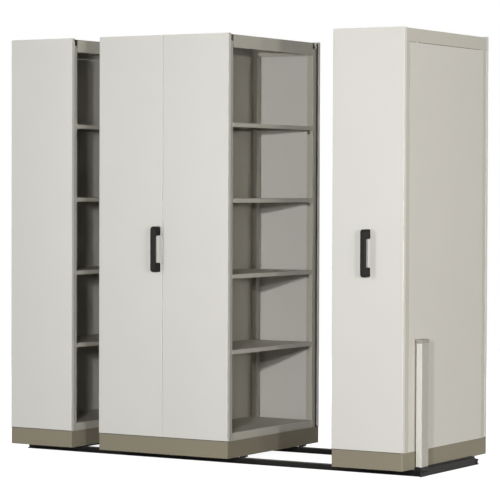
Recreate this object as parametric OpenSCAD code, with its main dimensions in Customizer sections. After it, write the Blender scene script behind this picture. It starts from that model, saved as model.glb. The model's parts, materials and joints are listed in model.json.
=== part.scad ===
// Mobile compactor shelving: one fixed single-faced bay and two mobile bays on a two-rail floor track.
// Millimetres, +X along the track, +Y into the bays from their handle end, +Z up.
// The origin is on the floor, in the middle of the whole assembly.

/* [Bays] */
// Width of a single-faced bay; the double-faced bay is twice this
bay_w = 385; // [360:1:460]
// Depth of a bay over its two end panels
bay_d = 915; // [840:1:1200]
// Height of the end panels above the floor
overall_h = 2134; // [2040:1:2300]
// Height of the lower edge of the plinths above the floor
floor_gap = 38; // [34:1:44]
// Height of the plinths
plinth_h = 84; // [80:1:96]
// Open joint between the plinth and the end panels
shadow_gap = 2.5; // [1:0.5:5]

/* [Layout on the track] */
// Clear distance between the fixed bay and the middle bay
left_gap = 170; // [60:1:400]
// Clear distance between the middle bay and the right bay
aisle = 585; // [300:1:900]

/* [End panels] */
// Depth of the folded end panels
panel_d = 24; // [18:1:32]
// Sheet thickness of panels, shelves and covers
sheet = 1.2; // [0.8:0.1:2]
// Outer bend radius on the upright edges
bend_r = 3; // [2:0.5:5]
// Width of the inward lips of the end panels
panel_lip = 15; // [10:1:22]
// Joint between the two end panels of the double bay
leaf_gap = 1.2; // [0.6:0.2:3]

/* [Uprights] */
// Width of an upright along the track
post_w = 35; // [32:1:60]
// Depth of an upright across the track
post_d = 36; // [34:1:50]
// Wall thickness of an upright
post_t = 2; // [1.5:0.1:3]
// How far uprights and shelf edges stand back from the end panel edges on an open face
edge_step = 10; // [6:1:16]
// How far uprights stand back on a closed face
closed_step = 2; // [1.6:0.1:5]
// Distance from the top of the end panels down to the top of the uprights
post_drop = 36; // [20:1:50]
// Distance between slots
slot_pitch = 37.5; // [20:0.5:50]
// Width of a slot
slot_w = 7; // [5:0.5:9]
// Height of a slot
slot_h = 13; // [10:0.5:16]

/* [Shelves] */
// Height of the bottom shelf surface above the plinth
base_rise = 38; // [26:1:60]
// Number of adjustable shelves on one face
shelf_count = 4; // [2:1:6]
// Slots between one adjustable shelf and the next
shelf_step = 10; // [6:1:14]
// Height of the lowest adjustable shelf above the bottom shelf
first_space = 410; // [300:1:500]
// Height of the folded edge of an adjustable shelf
shelf_lip = 21; // [18:1:35]
// Width of the inward return under a shelf edge
shelf_return = 12; // [8:1:18]
// Clearance between a shelf end and an upright
shelf_gap = 3; // [2.5:0.1:5]

/* [Shelf clips] */
// Width of a clip
clip_w = 16; // [12:1:20]
// Sheet thickness of a clip
clip_t = 2; // [1.5:0.1:2.4]
// Height of the back plate of a clip
clip_h = 20; // [16:1:24]
// Reach of the ledge under the shelf
clip_reach = 12; // [9:1:15]

/* [Back panels] */
// Depth of a folded back panel
back_d = 15; // [12:1:15]
// Clearance at each end of a back panel
back_gap = 0.4; // [0.2:0.1:1]

/* [Top covers] */
// Distance from the top of the end panels down to the top cover
cover_drop = 4; // [2:1:12]
// Height of the fascia folded down from a top cover
fascia_h = 64; // [50:1:80]
// Setback of the notch over each open upright
notch_gap = 6; // [2:1:12]

/* [Track] */
// Distance between the centre lines of the two rails
rail_span = 585; // [520:1:620]
// Height of a rail
rail_h = 28; // [26:1:32]
// Width of the rail foot
foot_w = 40; // [36:1:50]
// Thickness of the rail foot
foot_t = 4; // [3:0.5:5]
// Width of the rail web
web_w = 14; // [10:1:16]
// Width of the rail head
head_w = 28; // [24:1:30]
// Depth of the rail head
head_t = 9; // [7:0.5:10]
// Width of a flat cross tie
tie_w = 50; // [36:1:70]
// Diameter of the floor anchor holes in the ties
anchor_d = 9; // [7:1:14]
// Distance of the anchor holes from the middle of a tie
anchor_off = 180; // [120:1:220]
// Diameter of the track bolts
track_bolt_d = 6; // [5:1:8]

/* [End post] */
// Size of the end post along the track
stop_w = 29; // [26:1:60]
// Size of the end post across the track
stop_d = 76; // [60:1:90]
// Height of the end post above the rail
stop_h = 622; // [300:1:900]
// Wall thickness of the end post
stop_t = 2; // [1.5:0.5:3]
// Height of the skirted cap on the end post
cap_h = 19; // [10:1:30]
// Wall thickness of the cap
cap_t = 2; // [1.5:0.5:3]
// Height of the shoe that holds the end post
shoe_h = 20; // [15:1:40]
// Plate thickness of the shoe
shoe_t = 3; // [2:0.5:5]
// How far the end post stands out past the ends of the rails
post_over = 5; // [4:1:14]
// Thickness of the rubber pad on the end post
pad_t = 4; // [3.5:0.5:10]

/* [Running gear] */
// Tread radius of a wheel
wheel_r = 40; // [36:0.5:41]
// Depth of a wheel flange below the tread
flange_h = 7; // [4:0.5:7.5]
// Thickness of a wheel flange
flange_t = 5; // [4:0.5:6]
// Side clearance between rail head and wheel flange
groove_gap = 1; // [0.6:0.1:2]
// Running gap between rail and tread
tread_gap = 0.3; // [0.2:0.05:0.5]
// Radius of an axle
axle_r = 10; // [8:0.5:12]
// Distance from a bay side to its nearest axle
axle_inset = 95; // [88:1:105]
// Thickness of a bearing block
bearing_t = 22; // [16:1:26]
// Running clearance of the axle in its bearing
bearing_gap = 0.05; // [0.02:0.01:0.1]
// Height of the chassis sections
chassis_h = 30; // [24:1:31]
// Wall thickness of the chassis sections
chassis_t = 3; // [2:0.5:4]
// Thickness of the anti-tip hooks
hook_t = 4; // [3:0.5:5]
// Width of the anti-tip hooks
hook_w = 40; // [20:1:50]

/* [Handles] */
// Height of the middle of a handle above the floor
handle_z = 1065; // [900:1:1200]
// Length of a handle
handle_l = 228; // [160:1:280]
// Width of a handle
handle_w = 30; // [22:1:36]
// Distance a handle stands out from the panel
handle_out = 50; // [40:1:65]
// Thickness of the grip
grip_t = 15; // [10:1:20]
// Height of each foot of a handle
handle_foot = 46; // [34:1:56]
// Distance of the middle bay's handle from the joint of its panels
handle_off = 28; // [24:1:60]
// Diameter of the handle screws
screw_d = 6; // [4:1:8]

/* [Seals and buffers] */
// Width of the rubber edge strips
strip_w = 3; // [2:0.5:6]
// Distance of the strip face from the panel edge
strip_set = 1; // [0.5:0.5:3]
// Thickness of the rubber buffers
buffer_t = 12; // [6:1:16]
// Radius of the rubber buffers
buffer_r = 16; // [10:1:20]
// Gap left at a buffer when a bay is closed
buffer_gap = 1; // [0.5:0.5:3]

/* [Hidden] */
$fn = 64;
cut = 1;
fit = 0.3;

// Places along the track, from the outer side of the fixed bay
middle_x = bay_w + left_gap;
right_x = middle_x + 2 * bay_w + aisle;
post_x = right_x + bay_w + buffer_gap + pad_t;
shoe_x = post_x - shoe_t;
track_l = post_x + stop_w - post_over;
total_l = post_x + stop_w + max(shoe_t, cap_t + fit);
origin_x = -total_l / 2;
front_y = -(bay_d - handle_out) / 2;
mid_y = bay_d / 2;
rail_y = [mid_y - rail_span / 2, mid_y + rail_span / 2];

// Levels
plinth_top = floor_gap + plinth_h;
chassis_top = plinth_top - 2;
chassis_z = chassis_top - chassis_h;
panel_z = plinth_top + shadow_gap;
panel_h = overall_h - panel_z;
post_h = overall_h - post_drop - chassis_top;
base_top = plinth_top + base_rise;
cover_top = overall_h - cover_drop;
fascia_z = cover_top - fascia_h;
axle_z = rail_h + tread_gap + wheel_r;
stop_z = rail_h + shoe_t;
buffer_z = chassis_z + chassis_h / 2;
buffer_off = 60;
buffer_y = [rail_y[0] - buffer_off, rail_y[1] + buffer_off];

// Shelf and slot places on an upright
post_inner = panel_d + post_d;
slot_x = back_d + 1 + clip_w / 2;
shelf_rise = shelf_step * slot_pitch;
shelf_z = [for (i = [0 : shelf_count - 1]) base_top + first_space + i * shelf_rise];
ledge_0 = shelf_z[0] - shelf_lip;
tongue_w = slot_w - 1;
tongue_h = slot_h - 5;
slot_0 = ledge_0 - clip_h + 2;
slots_below = floor((slot_0 - base_top - slot_h) / slot_pitch);
slots_above = floor((overall_h - post_drop - 2 * slot_h - slot_0) / slot_pitch);
shelf_l = bay_d - 2 * (post_inner + shelf_gap);

// Ties lie under the three bays, where the track is hidden
tie_x = [bay_w / 2, middle_x + bay_w, right_x + bay_w / 2];
tie_end = rail_span / 2 - foot_w / 2 - fit;
lap_end = rail_span / 2 - web_w / 2 - 1;
lap = 9;
end_tie_w = 20;
end_tie_h = floor_gap - 2;
end_tie_notch = stop_d / 2 + shoe_t - foot_w / 2;
bolt_in = foot_w / 2 - (foot_w - web_w) / 4;
function bolt_y(y) = y < mid_y ? y + bolt_in : y - bolt_in;

// Where the shelves start in a bay with a back panel and in one half of the double bay
seat_gap = 0.8;
back_face = closed_step + back_d + seat_gap;
divider_step = 0.2;
divider_face = back_d / 2 + seat_gap;

// Chassis and running gear places
plinth_t = 1.5;
corner_r = 8;
ring_top_x = closed_step + post_w + 3;
ring_top_y = post_inner + shelf_gap + 2;
ring_low = 22;
column = 46;
flange_r = wheel_r + flange_h;
wheel_half = head_w / 2 + groove_gap + flange_t;
member_w = bearing_t + 18;
member_y = rail_span / 2 - wheel_half - member_w / 2 - 5;
hub_r = axle_r + 8;
block_r = axle_r + 9;
block_foot = 13;
block_hole = 6.6;
stud_l = 10;
axle_end = 8;
axles_single = [axle_inset, bay_w - axle_inset];
axles_double = [axle_inset, 2 * bay_w - axle_inset];
screw_l = 16;
screw_head = 4;
screw_z = [handle_z - (handle_l - handle_foot) / 2, handle_z + (handle_l - handle_foot) / 2];

// Colours
pale = "#d8d6d0";
stone = "#c2bfb6";
taupe = "#8c8573";
ink = "#1d1c1b";
steel = "#8a8c8d";

// Flat outlines
module rounded(w, d, r) {
  union() {
    translate([r, 0]) square([w - 2 * r, d]);
    translate([0, r]) square([w, d - 2 * r]);
    for (x = [r, w - r], y = [r, d - r]) translate([x, y]) circle(r);
  }
}

// A folded tray: a box of sheet, closed at low Z and with lips round its open top
module tray(w, d, h, t, lip) {
  difference() {
    cube([w, d, h]);
    translate([t, t, t]) cube([w - 2 * t, d - 2 * t, h - 2 * t]);
    translate([lip, lip, t]) cube([w - 2 * lip, d - 2 * lip, h]);
  }
}

// Puts a part drawn in the frame of one bay onto the track; the open face is at its high X
module placed(x) {
  translate([origin_x + x, front_y, 0]) children();
}

// Turns a bay so that its open face is at low X
module turned() {
  translate([bay_w, 0, 0]) mirror([1, 0, 0]) children();
}

// The same part at the front and, mirrored, at the rear of a bay
module both_ends() {
  children();
  translate([0, bay_d, 0]) mirror([0, 1, 0]) children();
}

// Track

module rail_section() {
  translate([-foot_w / 2, 0]) square([foot_w, foot_t]);
  translate([-web_w / 2, 0]) square([web_w, rail_h - 1]);
  translate([-head_w / 2, rail_h - head_t]) square([head_w, head_t]);
}

module rail(y) {
  color(ink) placed(0) difference() {
    translate([0, y, 0]) rotate([90, 0, 90]) linear_extrude(track_l) rail_section();
    for (x = tie_x, s = [-1, 1]) translate([x + s * tie_w / 4, bolt_y(y), -cut])
      cylinder(h = foot_t + 2 * cut, d = track_bolt_d + fit);
  }
}

// Flat ties under the three bays with lapped ends, and a channel across each end of the track that is
// notched under the end post shoe
module track_ties() {
  color(ink) placed(0) {
    for (i = [0 : 2]) translate([tie_x[i] - tie_w / 2, mid_y, 0]) difference() {
      union() {
        translate([0, -tie_end, 0]) cube([tie_w, 2 * tie_end, foot_t]);
        for (s = [0, 1]) mirror([0, s, 0]) translate([0, tie_end - lap, foot_t])
          cube([tie_w, lap_end - tie_end + lap, foot_t]);
      }
      for (s = [-1, 1], k = [-1, 1])
        translate([tie_w / 2 + s * tie_w / 4, k * (rail_span / 2 - bolt_in), foot_t - cut])
          cylinder(h = foot_t + 2 * cut, d = track_bolt_d + fit);
      if (i != 1) for (k = [-1, 1]) translate([tie_w / 2, k * anchor_off, -cut])
        cylinder(h = foot_t + 2 * cut, d = anchor_d);
    }
    for (s = [0, 1]) translate([track_l / 2, mid_y, 0]) mirror([s, 0, 0])
      translate([track_l / 2 - end_tie_w, -tie_end, 0]) difference() {
        cube([end_tie_w, 2 * tie_end, end_tie_h]);
        translate([-cut, -cut, foot_t])
          cube([end_tie_w - foot_t + cut, 2 * (tie_end + cut), end_tie_h - 2 * foot_t]);
        translate([-cut, -cut, rail_h - fit]) cube([end_tie_w + 2 * cut, end_tie_notch + cut, rail_h]);
      }
  }
}

module track_bolts() {
  color(steel) placed(0)
    for (x = tie_x, s = [-1, 1], y = rail_y) translate([x + s * tie_w / 4, bolt_y(y), 0]) {
      translate([0, 0, 0.5]) cylinder(h = 2 * foot_t, d = track_bolt_d);
      translate([0, 0, 2 * foot_t]) cylinder(h = 3, d = 1.7 * track_bolt_d);
    }
}

// A tray on the rail head with cheeks beside it and a plate down over the end of the rail
module end_post_shoe() {
  y = rail_y[0] - stop_d / 2 - shoe_t;
  w = stop_w + 2 * shoe_t;
  d = stop_d + 2 * shoe_t;
  color(ink) placed(shoe_x) translate([0, y, rail_h]) difference() {
    union() {
      cube([w, d, shoe_h]);
      for (k = [d / 2 - head_w / 2 - fit - shoe_t, d / 2 + head_w / 2 + fit]) translate([0, k, fit - head_t])
        cube([w, shoe_t, head_t]);
      translate([track_l + fit - shoe_x, 0, -rail_h]) cube([shoe_t, d, rail_h + shoe_t]);
    }
    translate([shoe_t, shoe_t, shoe_t]) cube([stop_w, stop_d, shoe_h]);
  }
}

module end_post() {
  y = rail_y[0] - stop_d / 2;
  color(pale) placed(post_x) translate([0, y, stop_z]) difference() {
    linear_extrude(stop_h) difference() {
      rounded(stop_w, stop_d, bend_r);
      translate([stop_t, stop_t]) rounded(stop_w - 2 * stop_t, stop_d - 2 * stop_t, 1);
    }
    translate([-cut, stop_d / 2, buffer_z - stop_z]) rotate([0, 90, 0])
      cylinder(h = stop_t + 2 * cut, d = screw_d + fit);
  }
}

// The cap stands on the end of the tube and its skirt goes down round the outside
module end_post_cap() {
  over = fit + cap_t;
  color(stone) placed(post_x) translate([0, rail_y[0] - stop_d / 2, stop_z + stop_h]) difference() {
    translate([-over, -over, cap_t - cap_h]) linear_extrude(cap_h)
      rounded(stop_w + 2 * over, stop_d + 2 * over, bend_r + over);
    translate([-fit, -fit, -cap_h]) linear_extrude(cap_h)
      rounded(stop_w + 2 * fit, stop_d + 2 * fit, bend_r + fit);
  }
}

// A round rubber buffer of thickness t with its stud; the stud points along low X
module buffer(t) {
  edge = t / 4;
  rotate([0, 90, 0]) rotate_extrude() polygon([
    [0, -stud_l], [screw_d / 2, -stud_l], [screw_d / 2, 0], [buffer_r, 0],
    [buffer_r, t - edge], [buffer_r - edge, t], [0, t]
  ]);
}

module end_buffer() {
  color(ink) placed(post_x) translate([0, rail_y[0], buffer_z]) mirror([1, 0, 0]) buffer(pad_t);
}

// Bay frames

// A ring of channel section with wide top flanges, and two box members at m_y from the middle
module ring(w, m_y) {
  in = plinth_t;
  difference() {
    translate([in, in, 0]) cube([w - 2 * in, bay_d - 2 * in, chassis_h]);
    translate([in + chassis_t, in + chassis_t, chassis_t])
      cube([w - 2 * (in + chassis_t), bay_d - 2 * (in + chassis_t), chassis_h - 2 * chassis_t]);
    translate([ring_top_x, ring_top_y, chassis_t])
      cube([w - 2 * ring_top_x, bay_d - 2 * ring_top_y, chassis_h]);
    translate([in + ring_low, in + ring_low, -cut])
      cube([w - 2 * (in + ring_low), bay_d - 2 * (in + ring_low), chassis_h / 2]);
    for (x = [0, w], y = [0, bay_d]) translate([x, y, -cut]) rotate([0, 0, 45])
      cube([2 * corner_r, 2 * corner_r, 3 * chassis_h], center = true);
  }
  for (s = [-1, 1]) translate([in + 1, mid_y + s * m_y - member_w / 2, 0]) difference() {
    cube([w - 2 * (in + 1), member_w, chassis_h - chassis_t]);
    translate([chassis_t, chassis_t, chassis_t])
      cube([w - 2 * (in + 1 + chassis_t), member_w - 2 * chassis_t, chassis_h - 3 * chassis_t]);
  }
}

module chassis(w) {
  color(ink) translate([0, 0, chassis_z]) difference() {
    ring(w, member_y);
    buffer_holes();
  }
}

// Holes for the buffer studs in the low X web
module buffer_holes() {
  for (y = buffer_y) translate([-cut, y, buffer_z - chassis_z]) rotate([0, 90, 0])
    cylinder(h = 2 * stud_l, d = screw_d + fit);
}

// The fixed bay stands on the rail heads on four stub columns
module left_base() {
  color(ink) placed(0) {
    translate([0, 0, chassis_z]) ring(bay_w, rail_span / 2);
    for (x = axles_single, y = rail_y) translate([x - column / 2, y - column / 2, rail_h]) difference() {
      cube([column, column, chassis_z - rail_h]);
      translate([chassis_t, -cut, chassis_t])
        cube([column - 2 * chassis_t, column + 2 * cut, chassis_z - rail_h - chassis_t]);
    }
  }
}

// Two end covers with rounded, returned corners and two side strips, the low X one with buffers or plain
module plinth(w, buffered) {
  ret = panel_d;
  color(taupe) translate([0, 0, floor_gap]) {
    both_ends() linear_extrude(plinth_h) difference() {
      rounded(w, 3 * corner_r + ret, corner_r);
      translate([plinth_t, plinth_t]) rounded(w - 2 * plinth_t, 4 * corner_r + ret, corner_r - plinth_t);
      translate([-cut, ret]) square([w + 2 * cut, 4 * corner_r + ret]);
    }
    for (x = [0, w - plinth_t]) translate([x, ret + fit, 0]) difference() {
      cube([plinth_t, bay_d - 2 * (ret + fit), plinth_h]);
      if (buffered && x == 0) for (y = buffer_y)
        translate([-cut, y - ret - fit, buffer_z - floor_gap]) rotate([0, 90, 0])
          cylinder(h = plinth_t + 2 * cut, d = screw_d + fit);
    }
  }
}

// An end panel with bent upright edges; screw_x lists handle screw places
module end_panel(w, screw_x = []) {
  color(pale) translate([0, 0, panel_z]) difference() {
    linear_extrude(panel_h) intersection() {
      rounded(w, 2 * panel_d, bend_r);
      square([w, panel_d]);
    }
    translate([0, 0, sheet]) linear_extrude(panel_h - 2 * sheet) intersection() {
      translate([sheet, sheet]) rounded(w - 2 * sheet, 2 * panel_d, bend_r - sheet);
      square([w, panel_d - sheet]);
    }
    translate([panel_lip, sheet + bend_r, panel_lip])
      cube([w - 2 * panel_lip, panel_d, panel_h - 2 * panel_lip]);
    for (x = screw_x, z = screw_z) translate([x, -cut, z - panel_z]) rotate([-90, 0, 0])
      cylinder(h = sheet + 2 * cut, d = screw_d + fit);
  }
}

// One slotted upright, drawn at the front of a bay with its outer face at low X
module post() {
  color(stone) translate([0, panel_d, chassis_top]) difference() {
    linear_extrude(post_h) difference() {
      rounded(post_w, post_d, bend_r);
      translate([post_t, post_t]) rounded(post_w - 2 * post_t, post_d - 2 * post_t, bend_r - post_t);
    }
    for (k = [-slots_below : slots_above])
      translate([slot_x - slot_w / 2, post_d - post_t - cut, slot_0 + k * slot_pitch - chassis_top])
        cube([slot_w, post_t + 2 * cut, slot_h]);
  }
}

// The four uprights of one face; back_x is where the back pair starts
module face_posts(back_x) {
  both_ends() {
    translate([back_x, 0, 0]) post();
    turned() translate([edge_step, 0, 0]) post();
  }
}

// A shelf pan; z is its top, h the height of its folded edge
module pan(x0, z, h) {
  color(stone) translate([x0, post_inner + shelf_gap, z]) mirror([0, 0, 1])
    tray(bay_w - edge_step - x0, shelf_l, h, sheet, shelf_return);
}

module face_shelves(x0) {
  for (z = shelf_z) pan(x0, z, shelf_lip);
}

module base_pan(x0) {
  pan(x0, base_top, base_top - chassis_top);
}

// A clip: back plate on the upright, ledge under the shelf, hooked tongue through a slot
module clip() {
  translate([-clip_w / 2, 0, -clip_h]) cube([clip_w, clip_t, clip_h]);
  translate([-clip_w / 2, 0, -clip_t]) cube([clip_w, clip_reach, clip_t]);
  translate([-tongue_w / 2, -post_t - clip_t - fit, 3 - clip_h]) {
    cube([tongue_w, post_t + clip_t + fit + 1, tongue_h - 2]);
    translate([0, 0, -5]) cube([tongue_w, clip_t, tongue_h + 3]);
  }
}

module face_clips(back_x) {
  color(steel) both_ends() for (z = shelf_z) {
    translate([back_x + slot_x, post_inner, z - shelf_lip]) clip();
    turned() translate([edge_step + slot_x, post_inner, z - shelf_lip]) clip();
  }
}

module back_panel(x, d) {
  l = bay_d - 2 * (post_inner + back_gap);
  h = fascia_z - 2 - chassis_top;
  color(stone) translate([x, post_inner + back_gap, chassis_top]) difference() {
    cube([d, l, h]);
    translate([sheet, sheet, sheet]) cube([d - 2 * sheet, l - 2 * sheet, h - 2 * sheet]);
  }
}

// Rubber strips in the steps between the open uprights and the end panels
module face_strips() {
  color(ink) both_ends() translate([bay_w - edge_step, panel_d, panel_z])
    cube([edge_step - strip_set, strip_w, overall_h - post_drop - panel_z]);
}

// A cover over the whole bay; open_low and open_high say which faces have shelves
module top_cover(w, open_low, open_high) {
  y0 = panel_d + fit;
  l = bay_d - 2 * y0;
  fy = post_inner + shelf_gap;
  fl = bay_d - 2 * fy;
  x0 = open_low ? edge_step : 0;
  x1 = open_high ? w - edge_step : w;
  color(stone) union() {
    translate([x0, y0, cover_top - sheet]) difference() {
      cube([x1 - x0, l, sheet]);
      for (s = [[0, open_low], [x1 - x0, open_high]]) if (s[1]) for (y = [0, l]) translate([s[0], y, 0])
        cube([2 * notch_gap, 2 * post_d, 3 * sheet], center = true);
    }
    for (s = [[x0, open_low], [x1 - sheet, open_high]])
      translate([s[0], s[1] ? fy : y0, fascia_z]) cube([sheet, s[1] ? fl : l, fascia_h]);
    for (s = [[x0, open_low, 0], [x1, open_high, 1]]) if (s[1])
      translate([s[0], fy, fascia_z]) mirror([s[2], 0, 0]) cube([shelf_return, fl, sheet]);
    for (y = [fy, bay_d - fy - sheet]) translate([x0 + post_w + edge_step, y, fascia_z])
      cube([x1 - x0 - 2 * (post_w + edge_step), sheet, fascia_h]);
  }
}

// Handles

module handle() {
  intersection() {
    translate([-handle_w / 2, 0, 0]) rotate([90, 0, 90]) linear_extrude(handle_w) difference() {
      translate([-handle_out, -handle_l / 2]) rounded(2 * handle_out, handle_l, 16);
      translate([-handle_out + grip_t, -handle_l / 2 + handle_foot])
        rounded(2 * handle_out, handle_l - 2 * handle_foot, 9);
      translate([0, -handle_l]) square([2 * handle_out, 2 * handle_l]);
    }
    translate([0, cut, 0]) rotate([90, 0, 0]) linear_extrude(handle_out + 2 * cut)
      translate([-handle_w / 2, -handle_l / 2]) rounded(handle_w, handle_l, 7);
    translate([0, 0, -handle_l]) linear_extrude(2 * handle_l)
      translate([-handle_w / 2, -handle_out]) rounded(handle_w, 2 * handle_out, 5);
  }
}

module handle_at(x) {
  color(ink) translate([x, 0, handle_z]) difference() {
    handle();
    for (z = screw_z) translate([0, cut, z - handle_z]) rotate([90, 0, 0])
      cylinder(h = screw_l + 2 + cut, d = screw_d + fit);
  }
}

module handle_screws(x) {
  color(steel) for (z = screw_z) translate([x, 0, z]) rotate([90, 0, 0]) {
    translate([0, 0, -sheet - 1]) cylinder(h = sheet + 1 + screw_l, d = screw_d);
    translate([0, 0, -sheet - screw_head]) cylinder(h = screw_head, d = 2 * screw_d);
  }
}

// Running gear, drawn about the axle

module axle() {
  l = rail_span + 2 * (wheel_half + axle_end);
  color(steel) translate([0, mid_y, axle_z]) rotate([90, 0, 0]) cylinder(h = l, r = axle_r, center = true);
}

module wheel(flanged) {
  r = flanged ? flange_r : wheel_r;
  rim = wheel_r - 7;
  difference() {
    rotate_extrude() difference() {
      union() {
        translate([0, -wheel_half]) square([hub_r, 2 * wheel_half]);
        translate([0, -4]) square([rim + 1, 8]);
        translate([rim, -wheel_half]) square([r - rim, 2 * wheel_half]);
      }
      translate([-cut, -wheel_half - cut]) square([axle_r + bearing_gap + cut, 2 * (wheel_half + cut)]);
      if (flanged) translate([wheel_r, flange_t - wheel_half])
        square([flange_h + cut, 2 * (wheel_half - flange_t)]);
    }
    for (a = [0 : 72 : 359]) rotate([0, 0, a]) translate([(hub_r + rim) / 2, 0, -wheel_half])
      cylinder(h = 2 * wheel_half, r = (rim - hub_r) / 2 - 2);
  }
}

module wheels() {
  color(steel) for (i = [0, 1]) translate([0, rail_y[i], axle_z]) rotate([90, 0, 0]) wheel(i == 0);
}

// An inverted bearing block bolted under its chassis member
module bearing() {
  drop = chassis_z - axle_z;
  foot = block_r + block_foot;
  difference() {
    union() {
      rotate([90, 0, 0]) cylinder(h = bearing_t, r = block_r, center = true);
      translate([-block_r, -bearing_t / 2, 0]) cube([2 * block_r, bearing_t, drop]);
      translate([-foot, -bearing_t / 2, drop - 7]) cube([2 * foot, bearing_t, 7]);
    }
    rotate([90, 0, 0]) cylinder(h = 2 * bearing_t, r = axle_r + bearing_gap, center = true);
    for (k = [-1, 1]) translate([k * (block_r + block_foot / 2), 0, 0])
      cylinder(h = 2 * drop, d = block_hole);
  }
}

module bearings(xs) {
  color(taupe) for (x = xs, s = [-1, 1]) translate([x, mid_y + s * member_y, axle_z]) bearing();
}

// Plates that reach under the inner edge of both rail heads
module hooks(xs) {
  web_in = rail_span / 2 - web_w / 2 - 2;
  low = rail_h - head_t - 2 - hook_t;
  y0 = member_y + member_w / 2;
  color(ink) for (x = xs, s = [0, 1]) translate([x - hook_w / 2, mid_y, 0]) mirror([0, s, 0]) {
    translate([0, y0, low]) cube([hook_w, hook_t, chassis_top - chassis_t - low]);
    translate([0, y0, low]) cube([hook_w, web_in - y0, hook_t]);
  }
}

module side_buffers() {
  color(ink) for (y = buffer_y) translate([0, y, buffer_z]) mirror([1, 0, 0]) buffer(buffer_t);
}

// Bays

rail(rail_y[0]);  // rail_front
rail(rail_y[1]);  // rail_rear
track_ties();
track_bolts();
end_post();
end_post_cap();
end_post_shoe();
end_buffer();
left_base();
placed(0) plinth(bay_w, false);  // left_plinth
placed(0) end_panel(bay_w);  // left_front_panel
placed(0) translate([0, bay_d, 0]) mirror([0, 1, 0]) end_panel(bay_w);  // left_rear_panel
placed(0) face_posts(closed_step);  // left_posts
placed(0) back_panel(closed_step, back_d);  // left_back_panel
placed(0) top_cover(bay_w, false, true);  // left_top_cover
placed(0) base_pan(back_face);  // left_base_shelf
placed(0) face_shelves(back_face);  // left_shelves
placed(0) face_clips(closed_step);  // left_shelf_clips
placed(0) face_strips();  // left_edge_strips
placed(middle_x) chassis(2 * bay_w);  // middle_chassis
placed(middle_x) plinth(2 * bay_w, true);  // middle_plinth
placed(middle_x) {  // middle_front_panels
  end_panel(bay_w - leaf_gap / 2, [bay_w - handle_off]);
  translate([bay_w + leaf_gap / 2, 0, 0]) end_panel(bay_w - leaf_gap / 2);
}
placed(middle_x) translate([0, bay_d, 0]) mirror([0, 1, 0]) {  // middle_rear_panels
    end_panel(bay_w - leaf_gap / 2);
    translate([bay_w + leaf_gap / 2, 0, 0]) end_panel(bay_w - leaf_gap / 2);
  }
placed(middle_x) {  // middle_posts
  turned() face_posts(divider_step);
  translate([bay_w, 0, 0]) face_posts(divider_step);
}
placed(middle_x + bay_w) back_panel(-back_d / 2, back_d);  // middle_back_panel
placed(middle_x) top_cover(2 * bay_w, true, true);  // middle_top_cover
placed(middle_x) {  // middle_base_shelves
  turned() base_pan(divider_face);
  translate([bay_w, 0, 0]) base_pan(divider_face);
}
placed(middle_x) turned() face_shelves(divider_face);  // middle_shelves_left
placed(middle_x + bay_w) face_shelves(divider_face);  // middle_shelves_right
placed(middle_x) {  // middle_shelf_clips
  turned() face_clips(divider_step);
  translate([bay_w, 0, 0]) face_clips(divider_step);
}
placed(middle_x) {  // middle_edge_strips
  turned() face_strips();
  translate([bay_w, 0, 0]) face_strips();
}
placed(middle_x) handle_at(bay_w - handle_off);  // middle_handle
placed(middle_x) handle_screws(bay_w - handle_off);  // middle_handle_screws
placed(middle_x) bearings(axles_double);  // middle_bearings
placed(middle_x) hooks([bay_w / 2, bay_w * 3 / 2]);  // middle_hooks
placed(middle_x) side_buffers();  // middle_buffers
placed(middle_x + axles_double[0]) axle();  // middle_axle_left
placed(middle_x + axles_double[0]) wheels();  // middle_wheels_left
placed(middle_x + axles_double[1]) axle();  // middle_axle_right
placed(middle_x + axles_double[1]) wheels();  // middle_wheels_right
placed(right_x) chassis(bay_w);  // right_chassis
placed(right_x) plinth(bay_w, true);  // right_plinth
placed(right_x) end_panel(bay_w, [bay_w / 2]);  // right_front_panel
placed(right_x) translate([0, bay_d, 0]) mirror([0, 1, 0]) end_panel(bay_w);  // right_rear_panel
placed(right_x) turned() face_posts(closed_step);  // right_posts
placed(right_x) turned() back_panel(closed_step, back_d);  // right_back_panel
placed(right_x) top_cover(bay_w, true, false);  // right_top_cover
placed(right_x) turned() base_pan(back_face);  // right_base_shelf
placed(right_x) turned() face_shelves(back_face);  // right_shelves
placed(right_x) turned() face_clips(closed_step);  // right_shelf_clips
placed(right_x) turned() face_strips();  // right_edge_strips
placed(right_x) handle_at(bay_w / 2);  // right_handle
placed(right_x) handle_screws(bay_w / 2);  // right_handle_screws
placed(right_x) bearings(axles_single);  // right_bearings
placed(right_x) hooks([bay_w / 2]);  // right_hooks
placed(right_x) side_buffers();  // right_buffers
placed(right_x + axles_single[0]) axle();  // right_axle_left
placed(right_x + axles_single[0]) wheels();  // right_wheels_left
placed(right_x + axles_single[1]) axle();  // right_axle_right
placed(right_x + axles_single[1]) wheels();  // right_wheels_right
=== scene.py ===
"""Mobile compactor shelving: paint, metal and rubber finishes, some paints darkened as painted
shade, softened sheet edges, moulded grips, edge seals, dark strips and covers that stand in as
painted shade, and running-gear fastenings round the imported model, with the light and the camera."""

import json
import math

import bmesh
import bpy
from mathutils import Matrix, Vector


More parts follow.
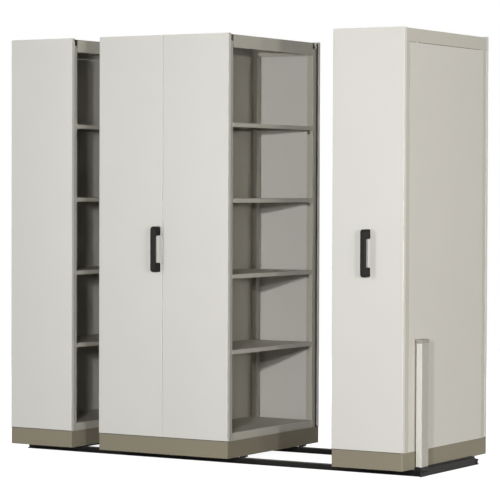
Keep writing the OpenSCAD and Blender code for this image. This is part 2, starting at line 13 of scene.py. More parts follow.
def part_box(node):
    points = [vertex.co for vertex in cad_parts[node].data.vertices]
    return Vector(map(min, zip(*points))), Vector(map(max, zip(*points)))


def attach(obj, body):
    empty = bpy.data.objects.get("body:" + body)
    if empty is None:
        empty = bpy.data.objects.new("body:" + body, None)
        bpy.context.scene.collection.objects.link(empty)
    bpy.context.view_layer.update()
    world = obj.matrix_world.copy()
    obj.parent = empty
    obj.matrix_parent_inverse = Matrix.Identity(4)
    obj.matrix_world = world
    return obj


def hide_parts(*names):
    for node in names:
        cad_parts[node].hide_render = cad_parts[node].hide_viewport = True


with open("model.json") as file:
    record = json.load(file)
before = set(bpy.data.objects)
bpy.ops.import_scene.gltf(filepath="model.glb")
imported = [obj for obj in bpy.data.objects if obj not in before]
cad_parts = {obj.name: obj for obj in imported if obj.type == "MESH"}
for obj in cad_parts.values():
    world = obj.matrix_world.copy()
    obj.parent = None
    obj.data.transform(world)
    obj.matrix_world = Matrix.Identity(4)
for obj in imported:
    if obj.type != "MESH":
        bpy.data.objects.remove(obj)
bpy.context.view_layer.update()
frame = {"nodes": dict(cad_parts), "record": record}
NODES = frame["nodes"]

MM = 0.001
# Corners nearer than WELD become one, faces that meet flatter than FLAT become one, and edges
# sharper than CREASE are softened
WELD = 0.01 * MM
FLAT = math.radians(0.5)
CREASE = math.radians(32)

BAYS = ("left", "middle", "right")
ROLLING_BAYS = ("middle", "right")


# Node trees

class Level:
    """A number, colour or vector that varies over a surface; its operators add Math nodes."""

    def __init__(self, maker, socket):
        self.maker = maker
        self.socket = socket

    def math(self, operation, *values, clamp=False):
        settings = {"operation": operation, "use_clamp": clamp}
        return self.maker.node("ShaderNodeMath", settings, dict(enumerate(values)))

    def __add__(self, other):
        return self.math("ADD", self, other)

    def __radd__(self, other):
        return self.math("ADD", other, self)

    def __sub__(self, other):
        return self.math("SUBTRACT", self, other)

    def __rsub__(self, other):
        return self.math("SUBTRACT", other, self)

    def __mul__(self, other):
        return self.math("MULTIPLY", self, other)

    def __rmul__(self, other):
        return self.math("MULTIPLY", other, self)

    def held(self):
        """The number kept between 0 and 1."""
        return self.math("ADD", self, 0.0, clamp=True)

    def rise(self, low, high):
        """0 below low, 1 above high and smooth between; falls where high is the lower one."""
        settings = {"interpolation_type": "SMOOTHSTEP", "clamp": True}
        sockets = {0: self, 1: low, 2: high, 3: 0.0, 4: 1.0}
        return self.maker.node("ShaderNodeMapRange", settings, sockets)


class Maker:
    """A node tree and the one method that adds nodes to it."""

    def __init__(self, tree):
        self.tree = tree
        tree.nodes.clear()

    def node(self, kind, settings=(), sockets=(), output=0):
        made = self.tree.nodes.new(kind)
        for name, value in dict(settings).items():
            setattr(made, name, value)
        for key, value in dict(sockets).items():
            if isinstance(value, Level):
                self.tree.links.new(value.socket, made.inputs[key])
            else:
                made.inputs[key].default_value = value
        return Level(self, made.outputs[output]) if made.outputs else None

    def mix(self, amount, low, high):
        """The colour low where amount is 0 and high where it is 1."""
        ends = [c if isinstance(c, Level) else (*c, 1.0) for c in (low, high)]
        sockets = {0: amount, 6: ends[0], 7: ends[1]}
        return self.node("ShaderNodeMix", {"data_type": "RGBA"}, sockets, 2)

    def seen(self):
        """1 for rays from the eye, off gloss or through a clear surface, 0 for diffuse light."""
        path = [self.node("ShaderNodeLightPath", output=name)
                for name in ("Is Camera Ray", "Is Glossy Ray", "Is Transmission Ray")]
        return (path[0] + path[1] + path[2]).held()


class Finish(Maker):
    """A surface material whose patterns lie on Object coordinates."""

    def __init__(self, name):
        self.material = bpy.data.materials.new(name)
        self.material.use_nodes = True
        super().__init__(self.material.node_tree)
        self.place = self.node("ShaderNodeTexCoord", output="Object")

    def along(self, axis):
        """The place along one axis, in metres."""
        return self.node("ShaderNodeSeparateXYZ", (), {0: self.place}, axis)

    def grain(self, size, detail=2.0, stretch=(1.0, 1.0, 1.0)):
        """Noise from 0 to 1 in blotches of about size metres, times stretch along each axis."""
        scale = tuple(1.0 / s for s in stretch)
        spot = self.node("ShaderNodeMapping", (), {"Vector": self.place, "Scale": scale})
        sockets = {"Vector": spot, "Scale": 1.0 / size, "Detail": detail}
        return self.node("ShaderNodeTexNoise", (), sockets)

    def dents(self, height, depth, strength):
        """A bump of that real depth in metres where height goes from 0 to 1."""
        sockets = {"Strength": strength, "Distance": depth, "Height": height}
        return self.node("ShaderNodeBump", (), sockets)

    def surface(self, colour, roughness, normal, metallic=0.0, **fixed):
        """The finished material; fixed names more sockets of the shader, with _ for each space."""
        sockets = {"Base Color": colour, "Roughness": roughness, "Metallic": metallic,
                   "Normal": normal}
        sockets.update({name.replace("_", " "): value for name, value in fixed.items()})
        shader = self.node("ShaderNodeBsdfPrincipled", (), sockets)
        self.node("ShaderNodeOutputMaterial", (), {"Surface": shader})
        return self.material


def toned(colour, amount):
    return tuple(c * amount for c in colour)


# Colours: paints, then the dark and light ends of each mottled finish

PALE = (0.640, 0.632, 0.600)
# Outer side panels: the pale paint made darker and warmer, as painted shade of the side faces
OUTER = (0.585, 0.568, 0.520)
# Stone grey: the pale paint made darker and warmer for the shelves and inner parts, as painted
# shade of the bay insides
SHADED_STONE = (0.500, 0.480, 0.420)
TAUPE = (0.254, 0.229, 0.171)
BLACK = (0.016, 0.015, 0.014)
DUST = (0.16, 0.15, 0.13)
GRIP_BLACK = (0.011, 0.010, 0.009)
CAP_GREY = (0.30, 0.29, 0.265)
# Side cover grey: darker than the post, as painted shade of the post's sides
INSERT_SHADE_GREY = (0.400, 0.388, 0.352)
RUBBED_EDGE = (0.09, 0.087, 0.080)
RAIL_STEEL = ((0.07, 0.068, 0.064), (0.24, 0.235, 0.225))
ZINC = ((0.42, 0.43, 0.44), (0.62, 0.62, 0.61))
BAR_STEEL = ((0.30, 0.30, 0.30), (0.48, 0.475, 0.46))
IRON = ((0.075, 0.075, 0.078), (0.19, 0.188, 0.185))
RUBBER = ((0.012, 0.012, 0.012), (0.030, 0.029, 0.028))
# Seal greys: partly the rubber's own colour, partly painted shade of the steps beside the open
# uprights
SEAL_SHADE_RUBBER = ((0.030, 0.029, 0.026), (0.062, 0.060, 0.054))

BLACK_SHINE = 0.15
SCUFF_LOW = 0.03
WEAR_FROM = 0.4 * MM
WEAR_TO = 0.1 * MM
SHOULDER_DEEP = 5 * MM


# Finishes

def powder_coat(name, colour, gloss=0.46, cloud=0.018, scuffs=0.0, scuff_height=0.0, shine=0.4):
    """Baked powder paint: faint clouding, fine speckle, orange peel, and scuffs near the floor."""
    f = Finish(name)
    clouds = f.grain(0.42, 3.0)
    speckle = f.grain(1.1 * MM, 1.0)
    tone = clouds * 0.65 + speckle * 0.35
    paint = f.mix(tone, toned(colour, 1.0 - 2.0 * cloud), toned(colour, 1.0 + 2.0 * cloud))
    rough = gloss - 0.06 + 0.12 * f.grain(0.09, 2.0)
    if scuffs:
        low = f.along("Z").rise(scuff_height, SCUFF_LOW)
        rubs = f.grain(0.012, 4.0, (9.0, 9.0, 1.0)).rise(0.58, 0.72) * low * scuffs
        paint = f.mix(rubs, paint, toned(colour, 1.35))
        rough = rough + 0.2 * rubs
    peel = f.grain(2.4 * MM, 1.0) + 0.5 * f.grain(7 * MM, 1.0)
    return f.surface(paint, rough, f.dents(peel, 0.05 * MM, 0.7), Specular_IOR_Level=shine)


def chassis_black(name, colour):
    """Satin black over hot-rolled steel: mill texture, a little dust on top."""
    f = Finish(name)
    mill = f.grain(6 * MM, 3.0)
    up = f.node("ShaderNodeNewGeometry", output="Normal")
    dust = f.node("ShaderNodeSeparateXYZ", (), {0: up}, "Z").rise(0.5, 1.0) * f.grain(0.05, 3.0)
    paint = f.mix(dust * 0.15, f.mix(mill, toned(colour, 0.6), toned(colour, 1.1)), DUST)
    rough = 0.45 + 0.2 * mill + 0.15 * dust
    return f.surface(paint, rough, f.dents(mill, 0.08 * MM, 0.6), Specular_IOR_Level=BLACK_SHINE)


def rail_black(name, colour, head_top, shoulder):
    """Black rail whose running face and upper edges are worn to bright steel along its length."""
    f = Finish(name)
    height = f.along("Z")
    mill = f.grain(6 * MM, 3.0)
    streaks = f.grain(1.6 * MM, 3.0, (60.0, 1.0, 1.0))
    patches = f.grain(0.05, 3.0, (3.0, 1.0, 1.0))
    worn = (height.rise(shoulder, head_top) * (0.55 + patches)).held()
    bright = height.rise(head_top - WEAR_FROM, head_top - WEAR_TO)
    edge = f.mix(worn * 0.5, toned(colour, 0.7), RUBBED_EDGE)
    paint = f.mix(bright, edge, f.mix(streaks, *RAIL_STEEL))
    rough = 0.5 + 0.15 * mill - 0.1 * bright * streaks
    return f.surface(paint, rough, f.dents(mill + 0.6 * streaks, 0.06 * MM, 0.6), 0.5 * bright,
                     Specular_IOR_Level=BLACK_SHINE)


def zinc_plate(name):
    """Bright zinc: fine crystalline mottling and soft highlights."""
    f = Finish(name)
    mottle = f.grain(3 * MM, 4.0)
    fine = f.grain(0.5 * MM, 2.0)
    paint = f.mix(mottle, *ZINC)
    return f.surface(paint, 0.26 + 0.2 * mottle, f.dents(fine, 0.02 * MM, 0.5), 1.0)


def turned_steel(name, stretch):
    """Bright drawn or turned bar: streaks stretched along it and a thin film of grease."""
    f = Finish(name)
    streaks = f.grain(0.8 * MM, 3.0, stretch)
    grease = f.grain(0.04, 3.0)
    paint = f.mix(streaks, *BAR_STEEL)
    rough = 0.28 + 0.15 * streaks + 0.12 * grease
    return f.surface(paint, rough, f.dents(streaks, 0.02 * MM, 0.6), 1.0)


def grey_casting(name):
    """Cast iron: sandy skin, darker hollows, duller than the bright steel beside it."""
    f = Finish(name)
    sand = f.grain(1.4 * MM, 4.0)
    blotch = f.grain(0.02, 3.0)
    paint = f.mix(0.6 * sand + 0.4 * blotch, *IRON)
    return f.surface(paint, 0.5 + 0.2 * sand, f.dents(sand, 0.25 * MM, 0.7), 0.55)


def black_rubber(name, low, high):
    """Matt extruded rubber with a dry bloom and fine die lines."""
    f = Finish(name)
    bloom = f.grain(0.015, 4.0)
    lines = f.grain(0.7 * MM, 2.0, (1.0, 1.0, 80.0))
    paint = f.mix(bloom, low, high)
    return f.surface(paint, 0.68 + 0.2 * bloom, f.dents(lines, 0.06 * MM, 0.7),
                     Specular_IOR_Level=0.3)


def moulded(name, colour, gloss, shine=0.5):
    """Spark-textured moulding: fine leathery pitting, darker where the texture is high."""
    f = Finish(name)
    pits = f.node("ShaderNodeTexVoronoi", {"feature": "SMOOTH_F1"},
                  {"Vector": f.place, "Scale": 1.0 / (0.9 * MM), "Smoothness": 0.5})
    haze = f.grain(0.02, 3.0)
    paint = f.mix(0.6 * pits + 0.4 * haze, toned(colour, 1.25), toned(colour, 0.78))
    rough = gloss + 0.12 * haze
    return f.surface(paint, rough, f.dents(pits, 0.05 * MM, 0.35), Specular_IOR_Level=shine)


RAIL_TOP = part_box("rail_front")[1].z
PLINTH_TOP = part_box("left_plinth")[1].z

FINISHES = {
    "panel_paint": powder_coat("pale grey powder coat", PALE),
    # stone grey: the pale paint darkened and warmed as painted shade of the inner parts
    "shelf_paint": powder_coat("stone grey powder coat", SHADED_STONE, gloss=0.50),
    "plinth_paint": powder_coat("taupe powder coat", TAUPE, gloss=0.58, cloud=0.022, scuffs=0.35,
                                scuff_height=PLINTH_TOP, shine=0.12),
    "black_paint": chassis_black("black chassis paint", BLACK),
    "rail": rail_black("black rail, worn bright on top", BLACK, RAIL_TOP, RAIL_TOP - SHOULDER_DEEP),
    "zinc_steel": zinc_plate("bright zinc plate"),
    "axle": turned_steel("drawn axle bar", (1.0, 40.0, 1.0)),
    "wheel_steel": grey_casting("grey iron casting"),
    "rubber": black_rubber("black rubber", *RUBBER),
    # dark grey seal: partly painted shade of the steps beside the open uprights
    "seal": black_rubber("dark grey seal", *SEAL_SHADE_RUBBER),
    "handle_black": moulded("black grip moulding", GRIP_BLACK, 0.5, shine=0.15),
    "cap_plastic": moulded("grey cap moulding", CAP_GREY, 0.5),
    # end post side covers: a darker grey as painted shade of the post's sides
    "insert": moulded("warm grey insert", INSERT_SHADE_GREY, 0.55),
    # outer side panels: the pale paint darkened and warmed as painted shade of the side faces
    "outer_shaded_paint": powder_coat("warm pale powder coat", OUTER),
}

SLOT_OF = {part["node"]: part["material_slot"] for part in frame["record"]["subparts"]}


def finish_of(node):
    if node.startswith("rail_"):
        return FINISHES["rail"]
    if "_axle_" in node:
        return FINISHES["axle"]
    # The outer side panels take the pale paint darkened as painted shade of the side faces
    if node in ("left_back_panel", "right_back_panel"):
        return FINISHES["outer_shaded_paint"]
    return FINISHES[SLOT_OF[node]]


for node, solid in NODES.items():
    solid.data.materials.clear()
    solid.data.materials.append(finish_of(node))


# Pieces

def body_of(node):
    bodies = frame["record"]["behaviour"]["bodies"]
    return next(name for name, members in bodies.items() if node in members)


def place(shape, name, body, slot, finish=None):
    """Turns a bmesh into a piece that rides on a body, in the finish of its slot or a given one."""
    mesh = bpy.data.meshes.new(name)
    shape.to_mesh(mesh)
    shape.free()
    for face in mesh.polygons:
        face.use_smooth = True
    mesh.set_sharp_from_angle(angle=CREASE)
    mesh.materials.append(finish or FINISHES[slot])
    piece = bpy.data.objects.new(name, mesh)
    bpy.context.scene.collection.objects.link(piece)
    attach(piece, body)
    return piece


def round_edges(piece, width, segments=2):
    """Softens the folded edges of a piece."""
    bevel = piece.modifiers.new("softened edges", "BEVEL")
    bevel.width = width
    bevel.segments = segments
    bevel.limit_method = "ANGLE"
    bevel.angle_limit = CREASE
    bevel.harden_normals = True


def eased(node, width, segments=2):
    """A copy of a CAD node, its flats joined and its edges softened, shown in its place."""
    shape = bmesh.new()
    shape.from_mesh(NODES[node].data)
    bmesh.ops.remove_doubles(shape, verts=shape.verts, dist=WELD)
    bmesh.ops.dissolve_limit(shape, angle_limit=FLAT, verts=shape.verts, edges=shape.edges)
    piece = place(shape, "soft_" + node, body_of(node), SLOT_OF[node], finish_of(node))
    round_edges(piece, width, segments)
    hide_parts(node)


PANEL_ROUND = 0.6 * MM
PLINTH_ROUND = 0.5 * MM
SHEET_ROUND = 0.4 * MM
POST_ROUND = 0.8 * MM
CAP_ROUND = 1.6 * MM
BUFFER_ROUND = 1.5 * MM

# The end panels of each bay; the middle bay has two leaves at each end
END_PANELS = (("left", ("front_panel", "rear_panel")),
              ("middle", ("front_panels", "rear_panels")),
              ("right", ("front_panel", "rear_panel")))

for bay, ends in END_PANELS:
    for end in ends:
        eased(f"{bay}_{end}", PANEL_ROUND)
    eased(f"{bay}_plinth", PLINTH_ROUND)
    eased(f"{bay}_top_cover", SHEET_ROUND)
for node in ("left_base_shelf", "middle_base_shelves", "right_base_shelf", "left_shelves",
             "middle_shelves_left", "middle_shelves_right", "right_shelves"):
    eased(node, SHEET_ROUND)
eased("end_post", POST_ROUND)
eased("end_post_cap", CAP_ROUND, 3)
eased("end_post_shoe", POST_ROUND)
for node in ("end_buffer", "middle_buffers", "right_buffers"):
    eased(node, BUFFER_ROUND, 3)


GRIP_BAR = 15 * MM
GRIP_FOOT = 46 * MM
GRIP_OUTER = 17 * MM
GRIP_INNER = 9 * MM
GRIP_EDGE = 6.5 * MM
GRIP_CORNER_STEPS = 10
GRIP_EDGE_STEPS = 6


def grip(bay):
    """A moulded bow handle: a side outline with rounded corners, given its width and softened."""
    node = f"{bay}_handle"
    low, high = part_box(node)
    front, back = low.y, high.y
    top, foot_top = high.z, high.z - GRIP_FOOT
    bottom, foot_bottom = low.z, low.z + GRIP_FOOT
    inside = front + GRIP_BAR
    outline = [(back, bottom), (front, bottom), (front, top), (back, top),
               (back, foot_top), (inside, foot_top), (inside, foot_bottom), (back, foot_bottom)]
    shape = bmesh.new()
    corners = [shape.verts.new((low.x, y, z)) for y, z in outline]
    shape.faces.new(corners)
    outer_corners, inner_corners = corners[1:3], corners[5:7]
    for chosen, radius in ((outer_corners, GRIP_OUTER), (inner_corners, GRIP_INNER)):
        bmesh.ops.bevel(shape, geom=chosen, offset=radius, offset_type="OFFSET", affect="VERTICES",
                        segments=GRIP_CORNER_STEPS, profile=0.5, material=-1)
    side = bmesh.ops.extrude_face_region(shape, geom=list(shape.faces))
    pushed = [v for v in side["geom"] if isinstance(v, bmesh.types.BMVert)]
    bmesh.ops.translate(shape, verts=pushed, vec=(high.x - low.x, 0, 0))
    bmesh.ops.recalc_face_normals(shape, faces=shape.faces)
    rims = [e for e in shape.edges if abs(e.verts[0].co.x - e.verts[1].co.x) < WELD
            and min(e.verts[0].co.y, e.verts[1].co.y) < back - WELD]
    bmesh.ops.bevel(shape, geom=rims, offset=GRIP_EDGE, offset_type="OFFSET", affect="EDGES",
                    segments=GRIP_EDGE_STEPS, profile=0.5, material=-1, clamp_overlap=True)
    piece = place(shape, f"{bay}_grip", body_of(node), "handle_black")
    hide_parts(node)


for bay in ROLLING_BAYS:
    grip(bay)


# Seals, slot covers and fastenings, with dark strips and covers that are painted shade

def block(shape, low, high):
    """Adds a box between two corners to a bmesh."""
    centre = [(a + b) / 2.0 for a, b in zip(low, high)]
    sizes = [b - a for a, b in zip(low, high)]
    bmesh.ops.create_cube(shape, size=1.0,
                          matrix=Matrix.Translation(centre) @ Matrix.Diagonal((*sizes, 1.0)))


def bar(shape, centre, radius, length, sides=32):
    """Adds an upright round bar, or a prism with that number of sides."""
    bmesh.ops.create_cone(shape, cap_ends=True, segments=sides, radius1=radius, radius2=radius,
                          depth=length, matrix=Matrix.Translation(centre))


POST_DEPTH = 36 * MM
CLIP_HALF = 8 * MM
CLIP_TALL = 22 * MM
COVER_HALF = 5.5 * MM
COVER_THICK = 1.2 * MM
COVER_GAP = 1 * MM
COVER_ROUND = 0.5 * MM
SEAL_THICK = 3 * MM
SEAL_SHORT = 2 * MM
SEAL_ROUND = 1.2 * MM
SEAL_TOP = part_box("left_top_cover")[1].z - SEAL_SHORT

# The open faces: bay, side of the bay that they are on, shelves that they hold
OPEN_FACES = (("left", 1, "left_shelves"), ("middle", -1, "middle_shelves_left"),
              ("middle", 1, "middle_shelves_right"), ("right", -1, "right_shelves"))
SHELF_COUNT = 4


def clip_tops(shelves):
    """Heights of the upper ends of the clips, at the undersides of the shelf edges."""
    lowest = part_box(shelves)[0].z
    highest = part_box("left_shelf_clips")[1].z
    step = (highest - lowest) / (SHELF_COUNT - 1)
    return [lowest + i * step for i in range(SHELF_COUNT)]


def slot_covers(bay, side, shelves):
    """Thin strips over the unused slots of the two open uprights, between the shelf clips."""
    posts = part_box(f"{bay}_posts")
    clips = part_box(f"{bay}_shelf_clips")
    middle = clips[1].x - CLIP_HALF if side > 0 else clips[0].x + CLIP_HALF
    edges = [z + d for z in clip_tops(shelves) for d in (-CLIP_TALL, 0.0)]
    levels = [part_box("left_base_shelf")[1].z + COVER_GAP, *edges, posts[1].z - 2 * COVER_GAP]
    shape = bmesh.new()
    for bottom, top in zip(levels[0::2], levels[1::2]):
        for face in (posts[0].y + POST_DEPTH, posts[1].y - POST_DEPTH - COVER_THICK):
            block(shape, (middle - COVER_HALF, face, bottom + COVER_GAP),
                  (middle + COVER_HALF, face + COVER_THICK, top - COVER_GAP))
    piece = place(shape, f"{shelves}_slot_covers", body_of(f"{bay}_posts"), "shelf_paint")
    round_edges(piece, COVER_ROUND)


def edge_shade_seals(bay, sides):
    """Dark grey seals with a rounded nose in the steps beside the open uprights, up to the top
    cover; their dark grey is partly the rubber's own colour, partly painted shade of the steps.
    """
    node = f"{bay}_edge_strips"
    low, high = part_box(node)
    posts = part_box(f"{bay}_posts")
    shape = bmesh.new()
    for side in sides:
        x0, x1 = (posts[1].x, high.x) if side > 0 else (low.x, posts[0].x)
        for y0 in (posts[0].y, posts[1].y - SEAL_THICK):
            block(shape, (x0, y0, low.z), (x1, y0 + SEAL_THICK, SEAL_TOP))
    piece = place(shape, f"{bay}_edge_shade_seals", body_of(node), "rubber", FINISHES["seal"])
    round_edges(piece, SEAL_ROUND, 4)
    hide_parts(node)


for bay, side, shelves in OPEN_FACES:
    slot_covers(bay, side, shelves)
for bay in BAYS:
    edge_shade_seals(bay, [side for name, side, shelves in OPEN_FACES if name == bay])


SEAM_SET = 1.2 * MM
SEAM_DEEP = 8 * MM
SEAM_ROUND = 0.4 * MM


def plinth_shade_strips(bay):
    """Black foam strips in the open joint between a plinth and the panels above it;
    they are painted shade that makes the joint read dark.
    """
    low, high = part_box(f"{bay}_plinth")
    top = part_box(f"{bay}_{'front_panels' if bay == 'middle' else 'front_panel'}")[0].z
    shape = bmesh.new()
    for y0, y1 in ((low.y + SEAM_SET, low.y + SEAM_DEEP), (high.y - SEAM_DEEP, high.y - SEAM_SET)):
        block(shape, (low.x + SEAM_SET, y0, high.z), (high.x - SEAM_SET, y1, top))
    piece = place(shape, f"{bay}_plinth_shade_strips", body_of(f"{bay}_plinth"), "rubber")
    round_edges(piece, SEAM_ROUND)


for bay in BAYS:
    plinth_shade_strips(bay)


LIP_BACK = 7 * MM
LIP_FRONT = 2.5 * MM
LIP_LOW = 12 * MM
LIP_HIGH = 43 * MM
LIP_SHOE_GAP = 1 * MM
LIP_END_GAP = 2 * MM
LIP_ROUND = 1.2 * MM
INSERT_MARGIN = 5 * MM
INSERT_PROUD = 1 * MM
INSERT_DEEP = 0.6 * MM
INSERT_GAP = 1 * MM
INSERT_ROUND = 0.5 * MM


def end_channel_shade_lip():
    """A black rubber lip on the inner side of the end channel, just clear of the plinth of the last
    bay: painted shade that darkens the gap seen under the plinth.
    """
    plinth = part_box("right_plinth")[1].x
    shape = bmesh.new()
    block(shape, (plinth + LIP_FRONT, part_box("end_post_shoe")[1].y + LIP_SHOE_GAP, LIP_LOW),
          (plinth + LIP_BACK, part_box("track_ties")[1].y - LIP_END_GAP, LIP_HIGH))
    piece = place(shape, "track_end_shade_lip", body_of("track_ties"), "rubber")
    round_edges(piece, LIP_ROUND, 3)


def post_shade_inserts():
    """Snap-in side covers in the end post, from its shoe to its cap; their grey, darker than the
    post, is painted shade of the post's sides.
    """
    low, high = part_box("end_post")
    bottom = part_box("end_post_shoe")[1].z + INSERT_GAP
    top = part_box("end_post_cap")[0].z - INSERT_GAP
    shape = bmesh.new()
    for x0, x1 in ((low.x - INSERT_PROUD, low.x + INSERT_DEEP),
                   (high.x - INSERT_DEEP, high.x + INSERT_PROUD)):
        block(shape, (x0, low.y + INSERT_MARGIN, bottom), (x1, high.y - INSERT_MARGIN, top))
    piece = place(shape, "end_post_inserts", body_of("end_post"), "cap_plastic", FINISHES["insert"])
    round_edges(piece, INSERT_ROUND)


SWEEP_HALF = 34 * MM
SWEEP_THICK = 7 * MM
SWEEP_GAP = 1.5 * MM
SWEEP_ROUND = 0.8 * MM
PLINTH_WALL = 1.5 * MM


def rail_shade_sweeps(bay):
    """Rubber wipers behind the plinth sides, over the rails: real wipers that keep litter off the
    rails, and black as painted shade that darkens the view under the plinth.
    """
    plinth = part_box(f"{bay}_plinth")
    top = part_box(f"{bay}_chassis")[0].z
    rails = [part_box(name) for name in ("rail_front", "rail_rear")]
    shape = bmesh.new()
    for rail in rails:
        y = (rail[0].y + rail[1].y) / 2.0
        for x in (plinth[0].x + PLINTH_WALL, plinth[1].x - PLINTH_WALL - SWEEP_THICK):
            block(shape, (x, y - SWEEP_HALF, rail[1].z + SWEEP_GAP),
                  (x + SWEEP_THICK, y + SWEEP_HALF, top))
    piece = place(shape, f"{bay}_rail_shade_sweeps", body_of(f"{bay}_chassis"), "rubber")
    round_edges(piece, SWEEP_ROUND)


end_channel_shade_lip()
post_shade_inserts()
for bay in ROLLING_BAYS:
    rail_shade_sweeps(bay)


AXLE_RADIUS = 10 * MM
WASHER_RADIUS = 6.0 * MM
WASHER_THICK = 1.2 * MM
HEAD_RADIUS = 5.6 * MM
HEAD_TALL = 4.0 * MM
HEAD_SIDES = 6
BOLT_RADIUS = 3.0 * MM
BOLT_OFF = 25.5 * MM
BOLT_ROUND = 0.3 * MM
FOOT_THICK = 7 * MM
BLOCK_HALF = 11 * MM
RING_THICK = 1.5 * MM
RING_OUTER = 14 * MM
RING_SET = 8.0 * MM
RING_GAP = math.radians(40)
RING_STEPS = 28


def bearing_bolts(bay):
    """Hexagon bolts with washers, up through the feet of the bearing blocks."""
    node = f"{bay}_bearings"
    low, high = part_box(node)
    shape = bmesh.new()
    foot = high.z - FOOT_THICK
    for axle in ("left", "right"):
        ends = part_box(f"{bay}_axle_{axle}")
        middle = (ends[0].x + ends[1].x) / 2.0
        for y in (low.y + BLOCK_HALF, high.y - BLOCK_HALF):
            for x in (middle - BOLT_OFF, middle + BOLT_OFF):
                bar(shape, (x, y, foot - WASHER_THICK / 2.0), WASHER_RADIUS, WASHER_THICK)
                bar(shape, (x, y, foot - WASHER_THICK - HEAD_TALL / 2.0), HEAD_RADIUS, HEAD_TALL,
                    sides=HEAD_SIDES)
                bar(shape, (x, y, foot + FOOT_THICK / 2.0), BOLT_RADIUS, FOOT_THICK)
    piece = place(shape, f"{bay}_bearing_bolts", body_of(node), "zinc_steel")
    round_edges(piece, BOLT_ROUND)


def axle_rings(bay, axle):
    """Open spring rings that hold the wheels on the axle."""
    node = f"{bay}_axle_{axle}"
    low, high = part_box(node)
    middle = (low + high) / 2.0
    shape = bmesh.new()
    for y in (low.y + RING_SET - RING_THICK, high.y - RING_SET):
        corners = [(AXLE_RADIUS, y), (RING_OUTER, y),
                   (RING_OUTER, y + RING_THICK), (AXLE_RADIUS, y + RING_THICK)]
        ring = [shape.verts.new((middle.x + r, v, middle.z)) for r, v in corners]
        sides = [shape.edges.new(pair) for pair in zip(ring, ring[1:] + ring[:1])]
        spun = bmesh.ops.spin(shape, geom=ring + sides, cent=middle, axis=(0.0, 1.0, 0.0),
                              angle=2.0 * math.pi - RING_GAP, steps=RING_STEPS)
        last = [e for e in spun["geom_last"] if isinstance(e, bmesh.types.BMEdge)]
        bmesh.ops.contextual_create(shape, geom=sides)
        bmesh.ops.contextual_create(shape, geom=last)
    bmesh.ops.recalc_face_normals(shape, faces=shape.faces)
    place(shape, f"{bay}_{axle}_axle_rings", body_of(node), "zinc_steel")


for bay in ROLLING_BAYS:
    bearing_bolts(bay)
    for axle in ("left", "right"):
        axle_rings(bay, axle)


# Floor, light and camera

FLOOR_SIZE = 60.0
FLOOR_BOUNCE = 0.10
FLOOR_SHADOW = 0.30
FLOOR_GLOW = 0.95
FADE_FROM = 4.0
FADE_TO = 8.0
AMBIENT = 0.08

WHITE = (1.0, 1.0, 1.0)
SOFT_WHITE = (1.0, 0.995, 0.985)
KEY_TINT = (1.0, 0.99, 0.97)
SECOND_TINT = (1.0, 0.985, 0.95)
FILL_TINT = (1.0, 0.985, 0.955)


def grey(level):
    return (level, level, level, 1.0)


def plain_floor():
    """A wide pale floor: white to the eye with a faint shadow, and clear from below."""
    shape = bmesh.new()
    bmesh.ops.create_grid(shape, x_segments=1, y_segments=1, size=FLOOR_SIZE)
    mesh = bpy.data.meshes.new("plain_floor")
    shape.to_mesh(mesh)
    shape.free()
    floor = bpy.data.objects.new("plain_floor", mesh)
    bpy.context.scene.collection.objects.link(floor)
    f = Finish("plain pale floor")
    bounce = f.node("ShaderNodeBsdfDiffuse", (), {"Color": grey(FLOOR_BOUNCE)})
    shadow = f.node("ShaderNodeBsdfDiffuse", (), {"Color": grey(FLOOR_SHADOW)})
    white = f.node("ShaderNodeEmission", (), {"Color": grey(1.0), "Strength": FLOOR_GLOW})
    near = f.node("ShaderNodeAddShader", (), {0: shadow, 1: white})
    plain = f.node("ShaderNodeEmission", (), {"Color": grey(1.0), "Strength": 1.0})
    reach = f.node("ShaderNodeVectorMath", {"operation": "LENGTH"}, {0: f.place}, "Value")
    fade = reach.rise(FADE_FROM, FADE_TO)
    shown = f.node("ShaderNodeMixShader", (), {0: fade, 1: near, 2: plain})
    top = f.node("ShaderNodeMixShader", (), {0: f.seen(), 1: bounce, 2: shown})
    under = f.node("ShaderNodeNewGeometry", output="Backfacing")
    clear = f.node("ShaderNodeBsdfTransparent")
    surface = f.node("ShaderNodeMixShader", (), {0: under, 1: top, 2: clear})
    f.node("ShaderNodeOutputMaterial", (), {"Surface": surface})
    mesh.materials.append(f.material)


def studio_world():
    """White to the eye and in reflections, with a little soft light from all round."""
    world = bpy.data.worlds.new("studio")
    bpy.context.scene.world = world
    world.use_nodes = True
    w = Maker(world.node_tree)
    soft = w.node("ShaderNodeBackground", (), {"Color": (*SOFT_WHITE, 1.0), "Strength": AMBIENT})
    white = w.node("ShaderNodeBackground", (), {"Color": grey(1.0), "Strength": 1.0})
    both = w.node("ShaderNodeMixShader", (), {0: w.seen(), 1: soft, 2: white})
    w.node("ShaderNodeOutputWorld", (), {"Surface": both})


def lamp(name, spot, aim, size, level, tint):
    """A small soft lamp; level is the light on a white face turned to it at the point aim."""
    data = bpy.data.lights.new(name, "POINT")
    far = (Vector(spot) - Vector(aim)).length
    data.energy = level * 4.0 * math.pi * math.pi * far * far
    data.shadow_soft_size = size / 2.0
    data.color = tint
    made = bpy.data.objects.new(name, data)
    made.location = spot
    made.visible_camera = False
    bpy.context.scene.collection.objects.link(made)


# Points that the lamps are aimed at
FRONTS = (0.0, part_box("middle_front_panels")[0].y, 1.0)
SIDE = (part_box("right_top_cover")[1].x, 0.0, 1.0)
REARS = (0.0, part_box("middle_rear_panels")[1].y, 1.0)
TOPS = (0.0, 0.0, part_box("middle_top_cover")[1].z)

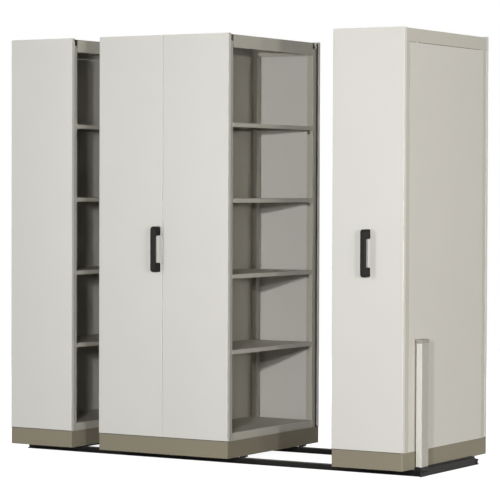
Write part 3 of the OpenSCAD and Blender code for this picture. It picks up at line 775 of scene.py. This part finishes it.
# Lamps: name, place, aim, width, level, tint
LAMPS = (
    ("key", (3.17, -7.66, 1.86), FRONTS, 0.12, 0.43, KEY_TINT),
    ("second key", (3.42, -7.55, 1.62), FRONTS, 0.12, 0.155, SECOND_TINT),
    ("left fill", (-3.2, -6.5, 1.7), FRONTS, 1.2, 0.22, WHITE),
    ("right fill", (9.0, 0.3, 1.15), SIDE, 1.6, 0.375, FILL_TINT),
    ("corner fill", (9.0, -7.5, 1.9), FRONTS, 0.5, 0.22, FILL_TINT),
    ("flank fill", (11.2, -6.2, 1.9), FRONTS, 0.4, 0.07, FILL_TINT),
    ("back fill", (-0.75, 8.8, 2.0), REARS, 0.6, 0.72, SOFT_WHITE),
    ("top fill", (-6.0, 1.5, 5.6), TOPS, 1.2, 0.72, WHITE),
)

# Camera: offset in metres from the front corner of the fixed bay, angles in radians, focus and
# picture in pixels
EYE_OFF = Vector((7.465, -9.9442, 1.3729))
EYE_PAN = 0.5439
EYE_TILT = -0.0261
EYE_ROLL = 0.0036
EYE_FOCUS = 2379.0
EYE_REACH = 200.0
PICTURE = 500
SENSOR = 36.0


def eye():
    """The camera, placed from the front corner of the fixed bay."""
    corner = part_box("left_front_panel")[0]
    ahead = Vector((-math.sin(EYE_PAN) * math.cos(EYE_TILT), math.cos(EYE_PAN) * math.cos(EYE_TILT),
                    math.sin(EYE_TILT)))
    level = Vector((math.cos(EYE_PAN), math.sin(EYE_PAN), 0.0))
    above = level.cross(ahead)
    right = math.cos(EYE_ROLL) * level + math.sin(EYE_ROLL) * above
    up = -math.sin(EYE_ROLL) * level + math.cos(EYE_ROLL) * above
    data = bpy.data.cameras.new("eye")
    data.sensor_width = SENSOR
    data.lens = SENSOR * EYE_FOCUS / PICTURE
    data.clip_end = EYE_REACH
    camera = bpy.data.objects.new("eye", data)
    spot = Vector((corner.x, corner.y, 0.0)) + EYE_OFF
    turn = Matrix((right, up, -ahead)).transposed().to_4x4()
    camera.matrix_world = Matrix.Translation(spot) @ turn
    bpy.context.scene.collection.objects.link(camera)
    bpy.context.scene.camera = camera


plain_floor()
studio_world()
for values in LAMPS:
    lamp(*values)
eye()
bpy.context.scene.view_settings.view_transform = "Standard"
